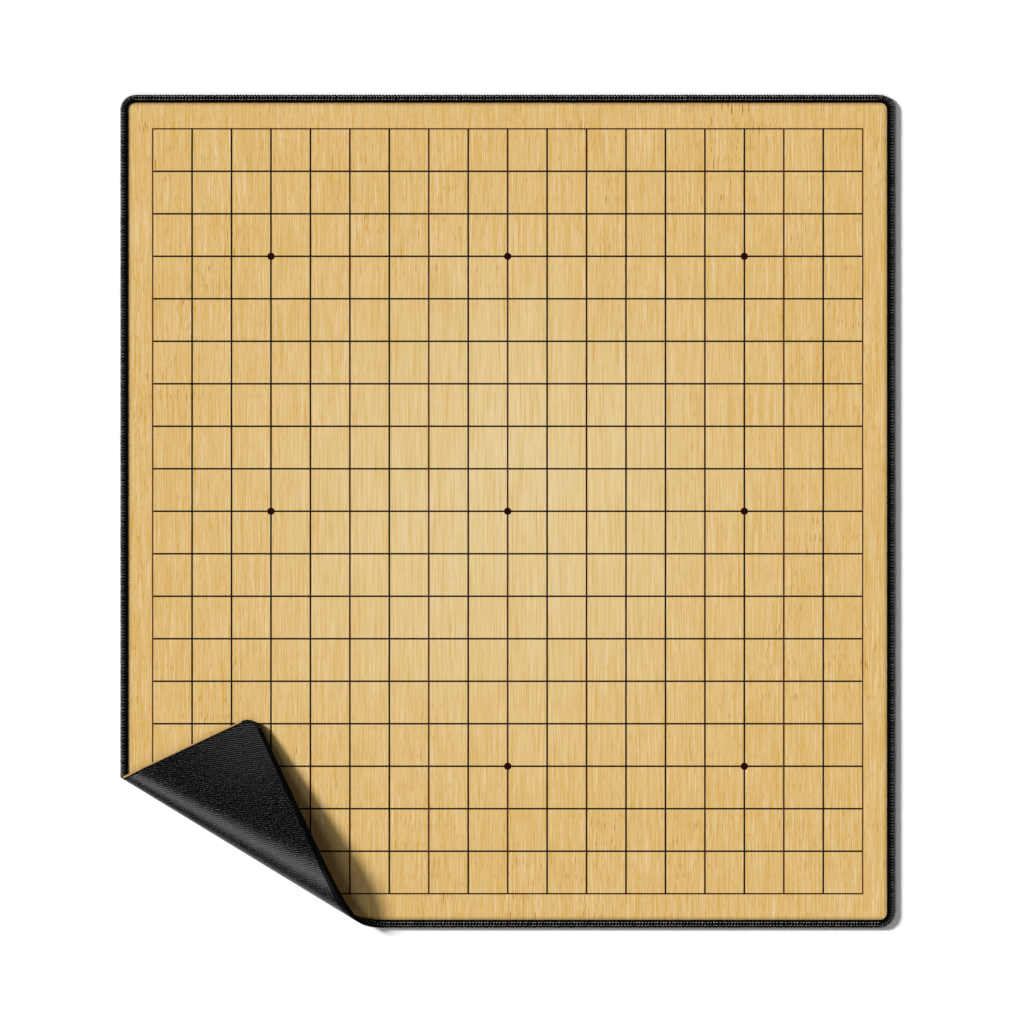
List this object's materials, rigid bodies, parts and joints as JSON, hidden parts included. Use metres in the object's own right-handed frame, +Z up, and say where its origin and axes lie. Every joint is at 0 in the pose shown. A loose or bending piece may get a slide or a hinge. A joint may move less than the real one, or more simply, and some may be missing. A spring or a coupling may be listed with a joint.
{
  "type": "go mat",
  "caption": "Roll-up go board: printed cloth on a rubber sheet with an overlocked edge, lying flat with one corner folded over to show the underside.",
  "frame": {"origin": "middle of the underside, on the surface that the mat lies on", "axes": "+X to the right along the shorter side, +Y away from the player along the longer side, +Z up out of the printed face"},
  "size_m": [0.4321, 0.4647, 0.0166],
  "materials": {
    "rubber": "matt, finely rippled",
    "cloth": "fine smooth weave with a printed wood grain",
    "ink": "matt print",
    "thread": "spun thread"
  },
  "bodies": {
    "mat": {"rubber_base": "rubber", "cloth_top": "cloth", "grid_lines": "ink", "star_points": "ink", "upper_looper_far": "thread", "upper_looper_right": "thread", "upper_looper_near": "thread", "upper_looper_left": "thread", "lower_looper_far": "thread", "lower_looper_right": "thread", "lower_looper_near": "thread", "lower_looper_left": "thread", "needle_thread": "thread"},
    "bend": {"rubber_fold": "rubber", "cloth_fold": "cloth", "grid_lines_fold": "ink", "upper_looper_fold": "thread", "lower_looper_fold": "thread", "needle_thread_fold": "thread"},
    "corner": {"rubber_corner": "rubber", "cloth_corner": "cloth", "grid_lines_corner": "ink", "upper_looper_corner_left": "thread", "upper_looper_corner_near": "thread", "lower_looper_corner_left": "thread", "lower_looper_corner_near": "thread", "needle_thread_corner": "thread"}
  },
  "joints": [
    {"name": "corner_fold", "type": "hinge", "parent": "mat", "child": "bend", "pos_m": [-0.14236, -0.19276, 0.00309], "axis": [0.8526, -0.5224, 0.0122], "range_deg": [0, 131.86], "deforming": ["rubber_fold", "cloth_fold", "grid_lines_fold", "upper_looper_fold", "lower_looper_fold", "needle_thread_fold"]},
    {"name": "corner_fold_upper", "type": "hinge", "parent": "bend", "child": "corner", "pos_m": [-0.13897, -0.18549, 0.01264], "axis": [0.8741, -0.4811, 0.0679], "range_deg": [0, 55.12]}
  ],
  "couplings": [
    {"joint": "corner_fold_upper", "follows": "corner_fold", "ratio": 0.41799}
  ]
}
